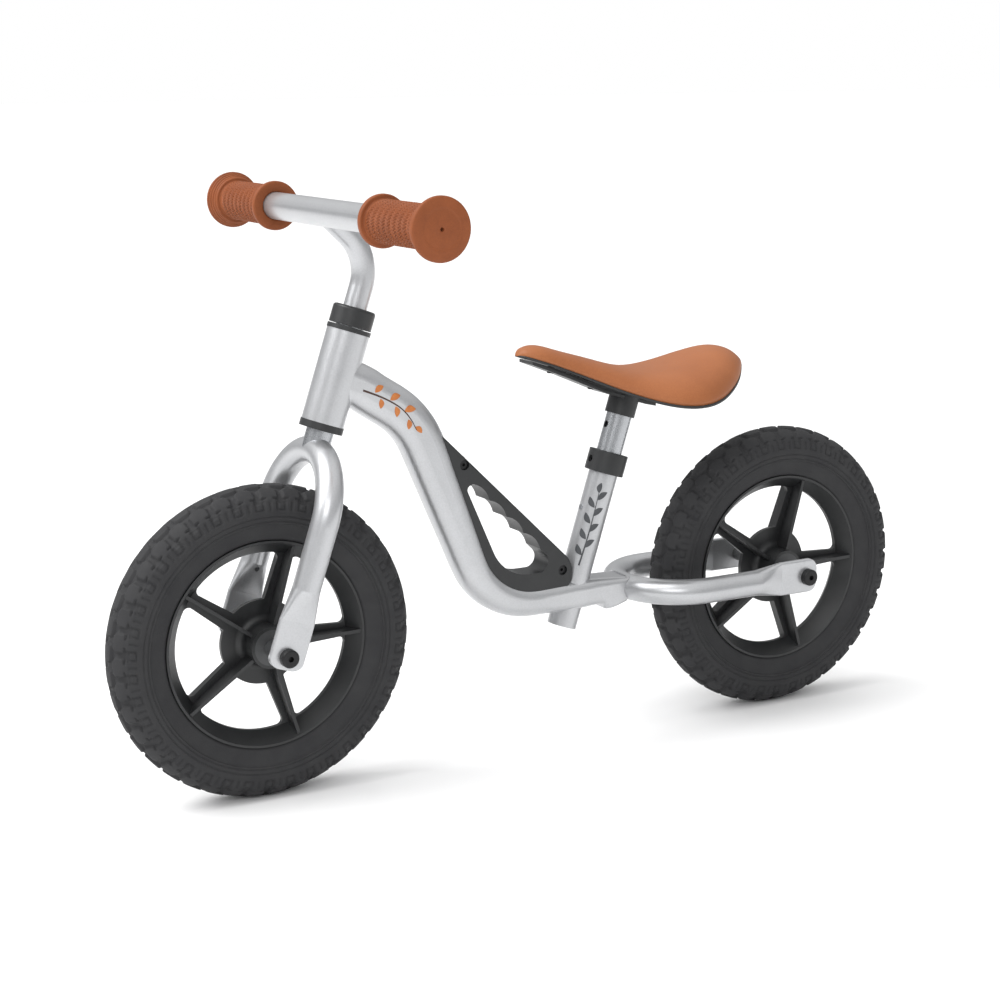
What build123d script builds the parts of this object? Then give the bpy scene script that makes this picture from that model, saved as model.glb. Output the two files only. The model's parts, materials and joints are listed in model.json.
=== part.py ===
from build123d import *
import os
from math import atan2, cos, hypot, radians, sin

# A child's balance bike: +X is the way it travels, +Y the rider's left, +Z up, all in
# millimetres. The origin is on the ground, midway between the two wheel axles.

# Overall layout
wheelbase = 499.0
wheel_radius = 127.0
head_angle = 71.17          # steering axis above the horizontal, in degrees
seat_angle = 72.05          # seat tube above the horizontal, in degrees
seat_foot_x = -36.6         # where the seat axis passes the height of the axles

# Wheels: a spoked moulding with a foam tyre on it, turning on two flanged bushes
tyre_half_width = 20.8
tyre_band_half_width = 19.4  # where the smooth band ends and the tread begins
tyre_band_radius = 96.7
tyre_shoulder_radius = 107.0
tyre_tread_radius = 119.5
tyre_tread_half_width = 16.2
rim_lip_radius = 84.0
rim_bead_radius = 88.0
rim_bead_half_width = 8.0
rim_half_width = 14.7
rim_bowl_radius = 82.0
rim_lip_depth = 2.7
window_radius = 72.5
web_thickness = 4.0
web_rim_overlap = 2.0       # how far the web runs into the rim
spoke_count = 5
spoke_first_angle = 36.0
spoke_rim_width = 11.0
spoke_hub_width = 15.0
window_corner_radius = 4.5
window_hub_corner_radius = 1.5
window_overrun = 7.0        # how far the spokes' straight sides are drawn past the windows
fin_thickness = 2.8
fin_hub_half_height = 18.0
fin_rim_half_height = 13.4
fin_end_slant = 1.0         # the fin's end crosses the bowl of the rim this far each way
hub_disc_radius = 34.5
hub_barrel_diameter = 34.0
hub_half_length = 23.0
hub_root_radius = 6.0
bush_diameter = 16.0
bush_length = 14.0
bush_flange_diameter = 29.0
bush_flange_thickness = 2.0

# Axles, the same at both ends
axle_diameter = 10.0
axle_thread_diameter = 6.0
axle_thread_depth = 22.0
bolt_thread_share = 0.9     # of the thread's depth that a bolt fills
axle_running_gap = 0.05     # radial, between an axle and its bushes
hub_end_gap = 0.25          # between a bush flange and the spacer beside it
spacer_diameter = 13.0
bolt_head_diameter = 14.6
bolt_head_height = 5.8
bolt_head_round = 1.4
bolt_socket_size = 5.0
bolt_socket_depth = 3.4

# Bent tube of the fork and of the rear stays, with flattened ends
stay_diameter = 22.2
stay_wall = 2.0
stay_half_spacing = 52.5
flat_width = 30.5
flat_thickness = 4.6
flat_corner_radius = 10.0
flat_end_overhang = 10.0
flat_length = 28.0          # from the axle to where the flat part ends
taper_length = 26.0
stay_side_arc = 80.0        # part of the round tube that becomes each edge of the flat end, in degrees
vent_hole_diameter = 4.0
vent_hole_height = 50.0

# Fork and head
fork_bend_height = 105.0    # centre of the arch, up the steering axis from the axle
steerer_diameter = 22.2
steerer_bore = 19.15
head_tube_diameter = 34.5
head_tube_bore = 30.0
head_tube_foot = 180.0      # up the steering axis from the axle
head_tube_length = 74.6
cup_diameter = 35.4
cup_sleeve_length = 12.0
lower_cup_height = 5.8
upper_cup_height = 3.6
steerer_running_gap = 0.05
cap_gap = 0.8
cap_diameter = 34.3
cap_height = 15.2
cap_steerer_share = 0.75    # of the cap's height that the steerer fills
cap_round = 2.4
cap_screw_diameter = 5.0
cap_screw_drop = 7.6
cap_screw_recess = 1.0

# Stem, bar and grips
stem_diameter = 19.05
stem_wall = 1.8
stem_insertion = 52.0
stem_bend_radius = 40.0
stem_corner_height = 316.5  # up the steering axis, where its two straight runs would cross
bar_height = 337.8          # up the steering axis
bar_reach = 45.9            # forward of the steering axis
bar_diameter = 22.2
bar_wall = 1.8
bar_half_length = 186.0
grip_inner_face = 98.0
grip_outer_face = 194.0
grip_body_diameter = 31.6
grip_inner_flange_diameter = 40.0
grip_inner_flange_thickness = 5.0
grip_outer_flange_diameter = 47.0
grip_outer_flange_back = 38.6  # its diameter where it meets the hand part
grip_outer_flange_thickness = 13.0
grip_end_hole = 3.0
grip_edge_round = 1.2

# Main beam: one bent tube, drawn flatter towards its tail
beam_head_height = 220.0    # up the steering axis
beam_front_drop = 32.5      # degrees below the horizontal
beam_front_run = 53.7
beam_upper_bend_radius = 76.0
beam_slope_drop = 68.0
beam_slope_run = 112.0
beam_lower_bend_radius = 62.0
beam_tail_x = -86.0
beam_wall = 2.0
beam_head_section = (31.0, 36.4, 13.0)   # width, height, corner radius
beam_bend_section = (31.0, 36.8, 13.5)
beam_slope_section = (30.0, 31.0, 13.8)
beam_foot_section = (29.4, 26.4, 11.0)
beam_tail_section = (30.0, 23.4, 5.0)

# Rear stays
rear_bend_length = 105.0    # from the axle to the centre of the bend in the beam's tail
rear_stay_rise = 1.0        # height of the stays above the axle

# Seat tube, post and clamp, measured up the seat axis from axle height
seat_tube_diameter = 25.4
seat_tube_foot = -27.5
seat_tube_top = 126.0
seat_post_diameter = 22.0
seat_post_wall = 1.8
seat_running_gap = 0.05
seat_post_foot = 20.0
seat_post_hole_diameter = 6.0
seat_post_hole_pitch = 31.7
seat_post_hole_count = 3
collar_diameter = 33.8
collar_foot = 108.5
collar_height = 18.6
collar_edge_round = 0.8
collar_screw_diameter = 6.0
collar_screw_height = 117.8
collar_screw_recess = 1.6
collar_screw_tip_gap = 0.1
rivet_diameter = 2.4
rivet_height = 75.4
rivet_head_diameter = 4.4
rivet_head_height = 0.9
rivet_inner_gap = 0.3

# Saddle
saddle_socket_foot = 160.1
saddle_socket_diameter = 26.0
saddle_socket_length = 26.0
saddle_post_depth = 16.0
saddle_base_thickness = 2.2
saddle_cover_gap = 0.3        # left between the cover and the base
saddle_shoulder = 0.66        # height of the side's fullest point, between rim and top
saddle_shoulder_width = 0.80  # its place across the half width
saddle_strap_line = ((6.0, 333.0), (-26.7, 320.0), (-66.5, 303.0), (-105.0, 291.0), (-116.0, 288.4))
saddle_strap_width = 22.0
saddle_strap_thickness = 2.6
saddle_strap_gap = 0.6        # between the strap's ribs and the base
saddle_rib_height = 14.0
saddle_rib_thickness = 2.4
saddle_rib_offset = 8.0
saddle_bolt_places = (-18.0, -58.0)
saddle_bolt_diameter = 5.0
saddle_bolt_length = 6.0
saddle_bolt_sink = 1.4        # of the head's top above the strap's underside
saddle_bolt_head_diameter = 7.0
saddle_bolt_head_height = 1.6
saddle_bolt_edge_round = 0.4
# distance along X, half width, rim height, middle of the underside, middle of the top
saddle_stations = [
    (-204.5, 12.0, 315.5, 317.0, 321.5),
    (-192.0, 28.0, 308.0, 311.0, 330.0),
    (-170.0, 46.0, 297.0, 303.0, 331.0),
    (-142.0, 58.5, 290.0, 299.0, 324.0),
    (-112.0, 56.0, 290.5, 299.0, 320.0),
    (-82.0, 42.0, 298.5, 303.0, 322.5),
    (-50.0, 27.5, 311.5, 313.0, 331.5),
    (-18.0, 17.5, 325.0, 326.5, 341.0),
    (4.0, 12.5, 333.0, 334.0, 345.0),
    (14.5, 6.0, 336.6, 337.2, 341.8),
]

# Carry handle, a moulded grip that sits in the bend of the beam
handle_half_thickness = 12.0
handle_tip = (90.7, 279.0)
handle_heel = (-22.5, 168.5)
handle_heel_x = -32.5
handle_heel_round = 20.0
handle_foot_z = 142.0
handle_foot_round = 15.0
handle_beam_overlap = 10.0   # how far past the tip the hidden edge follows the beam
handle_bar_thickness = 11.6  # from the outer edge to the ridges between the fingers
handle_gap_near_x = 76.5
handle_gap_floor = (34.3, 153.3)
handle_gap_rounds = (4.0, 38.0, 9.0)
handle_finger_count = 4
handle_finger_start = 60.0   # first finger, from the tip along the outer edge
handle_finger_pitch = 22.4
handle_finger_radius = 20.0
handle_finger_depth = 3.2
handle_finger_overlap = 1.0  # how far the hollows run into the gap
handle_edge_round = 1.5
handle_bolts = ((71.0, 253.0), (-22.4, 152.8))
handle_bolt_diameter = 5.0
handle_bolt_head_diameter = 8.5
handle_bolt_head_height = 4.0
handle_bolt_edge_round = 0.6
handle_bolt_socket = 3.0
handle_bolt_seat = 6.0       # distance of the head's seat from the middle
handle_nut_size = 8.0
handle_nut_thickness = 4.0
handle_tab_thickness = 4.0
handle_tab_radius = 7.0
handle_tab_gap = 0.2

axle_height = wheel_radius
rear_axle_x = -wheelbase / 2
front_axle_x = wheelbase / 2
dropout_inner = stay_half_spacing - flat_thickness / 2
dropout_outer = stay_half_spacing + flat_thickness / 2
cap_foot = head_tube_foot + head_tube_length + upper_cup_height + cap_gap
handle_slope = (handle_heel[1] - handle_tip[1]) / (handle_heel[0] - handle_tip[0])

steering_up = Vector(-cos(radians(head_angle)), 0, sin(radians(head_angle)))
steering_forward = Vector(sin(radians(head_angle)), 0, cos(radians(head_angle)))
steering_frame = Plane(origin=(front_axle_x, 0, axle_height), x_dir=steering_forward, z_dir=steering_up)
seat_up = Vector(-cos(radians(seat_angle)), 0, sin(radians(seat_angle)))
seat_forward = Vector(sin(radians(seat_angle)), 0, cos(radians(seat_angle)))
seat_frame = Plane(origin=(seat_foot_x, 0, axle_height), x_dir=seat_forward, z_dir=seat_up)
across = Plane(origin=(0, 0, 0), x_dir=(1, 0, 0), z_dir=(0, 1, 0))


def rod(diameter, start, end):
    """A cylinder along local Z from one height to another."""
    return extrude(Plane.XY.offset(start) * Circle(diameter / 2), end - start)


def pipe(outer, inner, start, end):
    """A tube along local Z from one height to another."""
    return rod(outer, start, end) - rod(inner, start, end)


def rod_y(diameter, x, z, start, end):
    """A cylinder along Y at a place in the side view."""
    return Pos(x, 0, z) * (across * Pos(0, 0, start) * extrude(Circle(diameter / 2), end - start))


def both_sides(piece):
    """A piece and its mirror image on the other side of the bike."""
    return Compound([*piece.solids(), *mirror(piece, about=Plane.XZ).solids()])


def socket_bolt(shank_diameter, shank_length, head_diameter, head_height, socket, depth, edge):
    """A bolt along local Z: shank below zero, round head above with a hexagon socket."""
    head = rod(head_diameter, 0, head_height)
    head = fillet(head.edges().sort_by(Axis.Z)[-1], edge)
    hexagon = extrude(Plane.XY.offset(head_height) * RegularPolygon(socket / 2, 6), -depth)
    return head + rod(shank_diameter, -shank_length, 0) - hexagon


def on_y(piece, x, z, y):
    """Places a piece made along local Z so that it points along +Y."""
    return Pos(x, y, z) * Rot(-90, 0, 0) * piece


def largest(piece):
    """The main solid of a piece, without the slivers that a cut can leave."""
    return max(piece.solids(), key=lambda solid: solid.volume)


# Wheels

def rim_profile():
    """Section of the rim moulding, radius along X and width along Y."""
    half = [
        (window_radius, web_thickness / 2),
        (rim_bowl_radius, rim_half_width),
        (rim_lip_radius, rim_half_width),
        (rim_lip_radius, rim_half_width - rim_lip_depth),
        (rim_bead_radius, rim_bead_half_width),
    ]
    return Polygon(*half, *[(r, -y) for r, y in reversed(half)], align=None)


def tyre_profile():
    """Section of the tyre, which fits the bead of the rim."""
    with BuildSketch() as section:
        with BuildLine():
            Spline(
                (rim_lip_radius, rim_half_width),
                (tyre_band_radius, tyre_band_half_width),
                (tyre_shoulder_radius, tyre_half_width),
                (tyre_tread_radius, tyre_tread_half_width),
                (wheel_radius, 0),
                (tyre_tread_radius, -tyre_tread_half_width),
                (tyre_shoulder_radius, -tyre_half_width),
                (tyre_band_radius, -tyre_band_half_width),
                (rim_lip_radius, -rim_half_width),
            )
            Line((rim_lip_radius, -rim_half_width), (rim_lip_radius, rim_half_width))
        make_face()
    return section.sketch - rim_profile()


def turned(profile):
    """Turns a section about the Y axis."""
    return revolve(profile, Axis.Y)


def wheel_windows():
    """The five openings between the spokes, drawn flat."""
    ring = Circle(window_radius) - Circle(hub_disc_radius)
    inner = hub_disc_radius - window_overrun
    outer = window_radius + window_overrun
    slope = (spoke_rim_width - spoke_hub_width) / (window_radius - hub_disc_radius) / 2
    near = spoke_hub_width / 2 + slope * (inner - hub_disc_radius)
    far = spoke_hub_width / 2 + slope * (outer - hub_disc_radius)
    bar = Polygon((inner, -near), (outer, -far), (outer, far), (inner, near), align=None)
    for k in range(spoke_count):
        ring -= Rot(0, 0, spoke_first_angle + k * 360 / spoke_count) * bar
    halfway = (window_radius + hub_disc_radius) / 2
    rim_corners = [v for v in ring.vertices() if hypot(v.X, v.Y) > halfway]
    ring = fillet(rim_corners, window_corner_radius)
    hub_corners = [v for v in ring.vertices() if hypot(v.X, v.Y) < hub_disc_radius + window_hub_corner_radius]
    return fillet(hub_corners, window_hub_corner_radius)


def fin():
    """The upright rib on the middle of one spoke, along +X."""
    start = hub_barrel_diameter / 4
    outline = [
        (start, fin_hub_half_height),
        (rim_bowl_radius - fin_end_slant, fin_rim_half_height),
        (rim_bowl_radius + fin_end_slant, rim_bead_half_width / 2),
    ]
    face = Polygon(*outline, *[(r, -y) for r, y in reversed(outline)], align=None)
    return extrude(face, fin_thickness / 2, both=True)


def hub_profile():
    """Half section of the hub barrel with a rounded root on the disc."""
    radius = hub_barrel_diameter / 2
    foot = web_thickness / 2
    with BuildSketch() as section:
        with BuildLine():
            Line((0, 0), (hub_disc_radius, 0))
            Line((hub_disc_radius, 0), (hub_disc_radius, foot))
            Line((hub_disc_radius, foot), (radius + hub_root_radius, foot))
            RadiusArc((radius + hub_root_radius, foot), (radius, foot + hub_root_radius), hub_root_radius)
            Line((radius, foot + hub_root_radius), (radius, hub_half_length))
            Line((radius, hub_half_length), (0, hub_half_length))
            Line((0, hub_half_length), (0, 0))
        make_face()
    return section.sketch


def wheel_core():
    """Rim, web, spokes, fins and hub barrel as one moulding."""
    side = Plane(origin=(0, 0, 0), x_dir=(1, 0, 0), z_dir=(0, -1, 0))
    web = Circle(window_radius + web_rim_overlap) - wheel_windows()
    core = side * extrude(web, web_thickness / 2, both=True)
    core += turned(rim_profile())
    core += turned(hub_profile())
    core += turned(mirror(hub_profile(), about=Plane.XZ))
    for k in range(spoke_count):
        core += Rot(0, -(spoke_first_angle + k * 360 / spoke_count), 0) * fin()
    core -= rod_y(bush_diameter, 0, 0, -hub_half_length, hub_half_length)
    recess = bush_flange_thickness
    for start in (-hub_half_length, hub_half_length - recess):
        core -= rod_y(bush_flange_diameter, 0, 0, start, start + recess)
    return core


def wheel_bush():
    """The bush in the left end of the hub."""
    inner = hub_half_length - bush_length
    bush = rod_y(bush_diameter, 0, 0, inner, hub_half_length)
    bush += rod_y(bush_flange_diameter, 0, 0, hub_half_length - bush_flange_thickness, hub_half_length)
    return bush - rod_y(axle_diameter + 2 * axle_running_gap, 0, 0, inner, hub_half_length)


def wheel_pieces(name, x):
    """Everything that turns with one wheel."""
    place = Pos(x, 0, axle_height)
    return {
        name + "_wheel_core": place * wheel_core(),
        name + "_tyre": place * turned(tyre_profile()),
        name + "_hub_bushes": place * both_sides(wheel_bush()),
    }


def axle_pieces(name, x):
    """The fixed axle of one wheel, its two bolts and its two spacers."""
    axle = rod_y(axle_diameter, x, axle_height, -dropout_inner, dropout_inner)
    thread_start = dropout_inner - axle_thread_depth
    for start in (-dropout_inner, thread_start):
        axle -= rod_y(axle_thread_diameter, x, axle_height, start, start + axle_thread_depth)
    spacer_start = hub_half_length + hub_end_gap
    spacer = rod_y(spacer_diameter, x, axle_height, spacer_start, dropout_inner)
    spacer -= rod_y(axle_diameter, x, axle_height, spacer_start, dropout_inner)
    shank = flat_thickness + axle_thread_depth * bolt_thread_share
    bolt = socket_bolt(axle_thread_diameter, shank, bolt_head_diameter, bolt_head_height,
                       bolt_socket_size, bolt_socket_depth, bolt_head_round)
    bolt = on_y(bolt, x, axle_height, dropout_outer)
    return {
        name + "_axle": axle,
        name + "_axle_spacers": both_sides(spacer),
        name + "_axle_bolts": both_sides(bolt),
    }


# Bent tubes with flattened ends

def stay_round_section():
    """Round section of a stay tube in four arcs, which match the sides of its flat section."""
    side = stay_side_arc / 2
    starts = (-side, side, 180 - side, 180 + side, 360 - side)
    arcs = [CenterArc((0, 0), stay_diameter / 2, a, b - a) for a, b in zip(starts, starts[1:])]
    return make_face(arcs)


def stay_flat_section():
    """Section of a flattened tube: two flat faces and two round edges."""
    reach = (flat_width - flat_thickness) / 2
    half = flat_thickness / 2
    return make_face([
        CenterArc((reach, 0), half, -90, 180),
        Line((reach, half), (-reach, half)),
        CenterArc((-reach, 0), half, 90, 180),
        Line((-reach, -half), (reach, -half)),
    ])


def flattened_end():
    """Left end of a stay tube: local Z runs up the tube from the axle, local Y is across."""
    top = flat_length + taper_length
    round_section = Plane.XY.offset(top) * stay_round_section()
    flat_section = stay_flat_section()
    taper = loft([round_section, Plane.XY.offset(flat_length) * flat_section])
    strip = extrude(Plane.XY.offset(-flat_end_overhang) * flat_section, flat_length + flat_end_overhang)
    middle = (flat_length - flat_end_overhang) / 2
    outline = Rectangle(flat_width, flat_length + flat_end_overhang)
    outline = fillet(outline.vertices().sort_by(Axis.Y)[:2], flat_corner_radius)
    outline = Plane(origin=(0, 0, middle), x_dir=(1, 0, 0), z_dir=(0, -1, 0)) * outline
    strip = strip & extrude(outline, flat_thickness, both=True)
    return Pos(0, stay_half_spacing, 0) * (strip + taper)


def stay_bend(bend_height, section, turn=180):
    """The bend of a stay tube, turned from its left leg over the top."""
    start = Pos(0, stay_half_spacing, bend_height) * section
    return revolve(start, Axis((0, 0, bend_height), (1, 0, 0)), turn)


def stay_tube(bend_height):
    """The U-shaped tube above its flattened ends, with its two legs up local Z."""
    start = flat_length + taper_length
    upright = pipe(stay_diameter, stay_diameter - 2 * stay_wall, start, bend_height)
    ring = Circle(stay_diameter / 2) - Circle(stay_diameter / 2 - stay_wall)
    tube = stay_bend(bend_height, ring)
    for side in (-1, 1):
        tube += Pos(0, side * stay_half_spacing, 0) * upright
    return tube


def stay_piece(bend_height, axle_drop=0):
    """The whole bent tube, with axle holes a little to one side and vent holes inside."""
    end = flattened_end()
    vent = rod_y(vent_hole_diameter, 0, vent_hole_height, -stay_half_spacing, stay_half_spacing)
    piece = stay_tube(bend_height) + end + mirror(end, about=Plane.XZ)
    piece -= rod_y(axle_thread_diameter, axle_drop, 0, -stay_half_spacing * 2, stay_half_spacing * 2)
    return piece - vent


# Fork, steerer and headset, made in the steering frame: local Z runs up the steering axis

def arch_core():
    """The whole round of the fork's bend, as a solid ring."""
    return stay_bend(fork_bend_height, Circle(stay_diameter / 2), 360)


def steerer():
    """The tube that turns in the head tube, seated on the arch of the fork."""
    top = cap_foot + cap_height * cap_steerer_share
    tube = pipe(steerer_diameter, steerer_bore, fork_bend_height + stay_half_spacing, top)
    return tube - arch_core() - cap_screw(0)


def headset_cups():
    """Lower and upper cup: a flange on the end of the head tube and a sleeve inside it."""
    bore = steerer_diameter + 2 * steerer_running_gap
    foot = head_tube_foot
    top = foot + head_tube_length
    lower = pipe(cup_diameter, bore, foot - lower_cup_height, foot)
    lower += pipe(head_tube_bore, bore, foot, foot + cup_sleeve_length)
    upper = pipe(cup_diameter, bore, top, top + upper_cup_height)
    upper += pipe(head_tube_bore, bore, top - cup_sleeve_length, top)
    return lower, upper


def headset_cap():
    """The clamp cap on top of the steerer, with a screw hole at its back."""
    top = cap_foot + cap_height
    cap = rod(cap_diameter, cap_foot, top)
    cap = fillet(cap.edges().sort_by(Axis.Z)[-1], cap_round)
    steerer_top = cap_foot + cap_height * cap_steerer_share
    cap -= rod(steerer_diameter, cap_foot, steerer_top)
    cap -= rod(stem_diameter, steerer_top, top)
    return cap - cap_screw(0)


def cap_screw(recess=cap_screw_recess):
    """The set screw that holds the stem, from the back of the cap to the stem."""
    height = cap_foot + cap_height - cap_screw_drop
    start = Plane(origin=(-stem_diameter / 2, 0, height), x_dir=(0, 1, 0), z_dir=(-1, 0, 0))
    length = (cap_diameter - stem_diameter) / 2 - recess
    screw = start * extrude(Circle(cap_screw_diameter / 2), length)
    if recess:
        socket = RegularPolygon(cap_screw_diameter / 4, 6)
        screw -= start * Pos(0, 0, length) * extrude(socket, -cap_screw_diameter / 2)
    return screw - rod(stem_diameter, 0, bar_height)


def stem_path():
    """Centre line of the stem: up the steering axis, then forward to the bar."""
    foot = cap_foot + cap_height - stem_insertion
    points = [(0, 0, foot), (0, 0, stem_corner_height), (bar_reach, 0, bar_height)]
    return FilletPolyline(*points, radius=stem_bend_radius)


def bar_solid(diameter):
    """A cylinder along the handlebar's line, wider than the bike."""
    return rod_y(diameter, bar_reach, bar_height, -bar_half_length, bar_half_length)


def stem():
    """The bent tube from the cap to the handlebar, shaped to meet the bar."""
    path = stem_path()
    ring = Circle(stem_diameter / 2) - Circle(stem_diameter / 2 - stem_wall)
    tube = sweep(Plane(origin=path @ 0, z_dir=path % 0) * ring, path)
    return tube - bar_solid(bar_diameter)


def handlebar():
    """The straight bar, an open tube."""
    return bar_solid(bar_diameter) - bar_solid(bar_diameter - 2 * bar_wall)


def grip():
    """The left grip: inner flange, hand part and a closed outer flange."""
    inner, outer = grip_inner_face, grip_outer_face
    body = rod(grip_body_diameter, inner, outer)
    inner_flange = rod(grip_inner_flange_diameter, inner, inner + grip_inner_flange_thickness)
    back = Plane.XY.offset(outer - grip_outer_flange_thickness) * Circle(grip_outer_flange_back / 2)
    outer_flange = loft([back, Plane.XY.offset(outer) * Circle(grip_outer_flange_diameter / 2)])
    flanges = [fillet(piece.edges().filter_by(GeomType.CIRCLE), grip_edge_round)
               for piece in (inner_flange, outer_flange)]
    body = body + flanges[0] + flanges[1]
    body -= rod(bar_diameter, inner, bar_half_length)
    body -= rod(grip_end_hole, bar_half_length, outer)
    return on_y(body, bar_reach, bar_height, 0)


def steering_pieces():
    """Everything that turns with the handlebar except the wheel, in place."""
    fork = stay_piece(fork_bend_height)
    left = grip()
    pieces = {
        "fork": fork,
        "steerer": steerer(),
        "headset_cap": headset_cap(),
        "cap_set_screw": cap_screw(),
        "stem": stem(),
        "handlebar": handlebar(),
        "grip_left": left,
        "grip_right": mirror(left, about=Plane.XZ),
    }
    placed = {name: steering_frame * piece for name, piece in pieces.items()}
    return placed | axle_pieces("front", front_axle_x)


# Frame

def beam_stations():
    """Places along the beam's centre line, each with its slope and the size of its section."""
    start = steering_frame.origin + steering_up * beam_head_height
    front = radians(beam_front_drop)
    slope = radians(beam_slope_drop)
    # straight run, bend radius, slope before and after, section before and after, steps
    legs = [
        (beam_front_run, 0, front, front, beam_head_section, beam_bend_section, 3),
        (0, -beam_upper_bend_radius, front, slope, beam_bend_section, beam_bend_section, 5),
        (beam_slope_run, 0, slope, slope, beam_bend_section, beam_slope_section, 5),
        (0, beam_lower_bend_radius, slope, 0, beam_slope_section, beam_foot_section, 8),
    ]
    stations = [(start.X, start.Z, front, beam_head_section)]
    for run, radius, angle_before, angle_after, size_before, size_after, steps in legs:
        leg_x, leg_z = stations[-1][:2]
        for step in range(1, steps + 1):
            part = step / steps
            angle = angle_before + (angle_after - angle_before) * part
            along = run * part * cos(angle) + radius * (sin(angle_before) - sin(angle))
            down = run * part * sin(angle) + radius * (cos(angle) - cos(angle_before))
            size = tuple(a + (b - a) * part for a, b in zip(size_before, size_after))
            stations.append((leg_x - along, leg_z - down, angle, size))
    foot_x, foot_z = stations[-1][:2]
    tail_steps = 4
    for step in range(1, tail_steps + 1):
        part = step / tail_steps
        size = tuple(a + (b - a) * part for a, b in zip(beam_foot_section, beam_tail_section))
        stations.append((foot_x + (beam_tail_x - foot_x) * part, foot_z, 0, size))
    return stations


def beam_solid(wall=0):
    """The beam as a bar through its sections, thinner all round by wall and longer at both ends."""
    sections = []
    stations = beam_stations()
    for place, (x, z, angle, (width, height, corner)) in enumerate(stations):
        stretch = wall * ((place == len(stations) - 1) - (place == 0))
        centre = (x - stretch * cos(angle), 0, z - stretch * sin(angle))
        across_beam = Plane(origin=centre, x_dir=(0, 1, 0), z_dir=(-cos(angle), 0, -sin(angle)))
        size = (width - 2 * wall, height - 2 * wall, corner - wall)
        sections.append(across_beam * RectangleRounded(*size))
    return loft(sections)


def head_rod(diameter):
    """A cylinder on the steering axis over the length of the head tube."""
    return steering_frame * rod(diameter, head_tube_foot, head_tube_foot + head_tube_length)


def seat_rod(diameter, start, end):
    """A cylinder on the seat axis."""
    return seat_frame * rod(diameter, start, end)


def main_beam():
    """The hollow beam, shaped to meet the head tube, the seat tube and the rear stays."""
    beam = beam_solid() - beam_solid(beam_wall)
    beam -= head_rod(head_tube_diameter)
    beam -= seat_rod(seat_tube_diameter, seat_tube_foot, seat_tube_top)
    beam -= rear_frame() * stay_bend(rear_bend_length, Circle(stay_diameter / 2), 360)
    return largest(beam)


def rear_frame():
    """Frame of the rear stays: local Z runs forward from the axle, local X points down."""
    return Plane(origin=(rear_axle_x, 0, axle_height + rear_stay_rise), x_dir=(0, 0, -1), z_dir=(1, 0, 0))


def seat_tube():
    """The tube that the seat post slides in, with holes for the clamp screw and a rivet."""
    bore = seat_post_diameter + 2 * seat_running_gap
    tube = pipe(seat_tube_diameter, bore, seat_tube_foot, seat_tube_top)
    tube -= front_pin(collar_screw_diameter, collar_screw_height, 0, collar_diameter / 2)
    tube -= front_pin(rivet_diameter, rivet_height, 0, seat_tube_diameter)
    return seat_frame * tube


def front_pin(diameter, height, start, end):
    """A cylinder square to the seat axis, pointing forward, in the seat frame."""
    return Pos(0, 0, height) * Rot(0, 90, 0) * rod(diameter, start, end)


def seat_collar():
    """The ring round the top of the seat tube, with its screw hole at the front."""
    ring = pipe(collar_diameter, seat_tube_diameter, collar_foot, collar_foot + collar_height)
    ring = fillet(ring.edges().filter_by(GeomType.CIRCLE).group_by(SortBy.RADIUS)[-1], collar_edge_round)
    return seat_frame * (ring - front_pin(collar_screw_diameter, collar_screw_height, 0, collar_diameter))


def seat_collar_screw():
    """The clamp screw, backed out until its tip is just clear of the seat post."""
    tip = seat_post_diameter / 2 + collar_screw_tip_gap
    head = collar_diameter / 2 - collar_screw_recess
    screw = front_pin(collar_screw_diameter, collar_screw_height, tip, head)
    socket = extrude(RegularPolygon(collar_screw_diameter / 4, 6), -collar_screw_diameter / 2)
    return seat_frame * (screw - Pos(0, 0, collar_screw_height) * Rot(0, 90, 0) * Pos(0, 0, head) * socket)


def seat_tube_rivet():
    """A small rivet in the front of the seat tube, with a domed head."""
    inner = seat_post_diameter / 2 + seat_running_gap + rivet_inner_gap
    shank = front_pin(rivet_diameter, rivet_height, inner, seat_tube_diameter / 2 + rivet_head_height)
    head = front_pin(rivet_head_diameter, rivet_height, seat_tube_diameter / 2 - rivet_head_height,
                     seat_tube_diameter / 2 + rivet_head_height)
    head -= rod(seat_tube_diameter, seat_tube_foot, seat_tube_top)
    return seat_frame * (shank + head)


# Carry handle

def along_handle(distance, inset):
    """A point measured from the handle's tip along its outer edge and in from that edge."""
    dx, dz = handle_heel[0] - handle_tip[0], handle_heel[1] - handle_tip[1]
    length = hypot(dx, dz)
    ux, uz = dx / length, dz / length
    return (handle_tip[0] + ux * distance - uz * inset, handle_tip[1] + uz * distance + ux * inset)


def side_plate(outline, half_thickness):
    """A flat plate with a side-view outline, centred on the bike."""
    face = Plane(origin=(0, 0, 0), x_dir=(1, 0, 0), z_dir=(0, -1, 0)) * outline
    return extrude(face, half_thickness, both=True)


def handle_opening():
    """The gap for the hand, with a hollow for each finger."""
    start = along_handle(0, handle_bar_thickness)
    near = (handle_gap_near_x, start[1] + (handle_gap_near_x - start[0]) * handle_slope)
    back = (start[0] + (handle_gap_floor[1] - start[1]) / handle_slope, handle_gap_floor[1])
    gap = Polygon(near, handle_gap_floor, back, align=None)
    for corner, radius in zip((near, handle_gap_floor, back), handle_gap_rounds):
        nearest = min(gap.vertices(), key=lambda v: hypot(v.X - corner[0], v.Y - corner[1]))
        gap = fillet([nearest], radius)
    first = handle_finger_start - handle_finger_pitch / 2
    last = first + handle_finger_pitch * handle_finger_count
    inner = handle_bar_thickness + handle_finger_overlap
    corners = ((first, 0), (first, inner), (last, inner), (last, 0))
    strip = Polygon(*[along_handle(*corner) for corner in corners], align=None)
    inset = handle_bar_thickness - handle_finger_depth + handle_finger_radius
    for k in range(handle_finger_count):
        centre = along_handle(handle_finger_start + k * handle_finger_pitch, inset)
        gap += strip & (Pos(*centre) * Circle(handle_finger_radius))
    return gap


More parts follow.
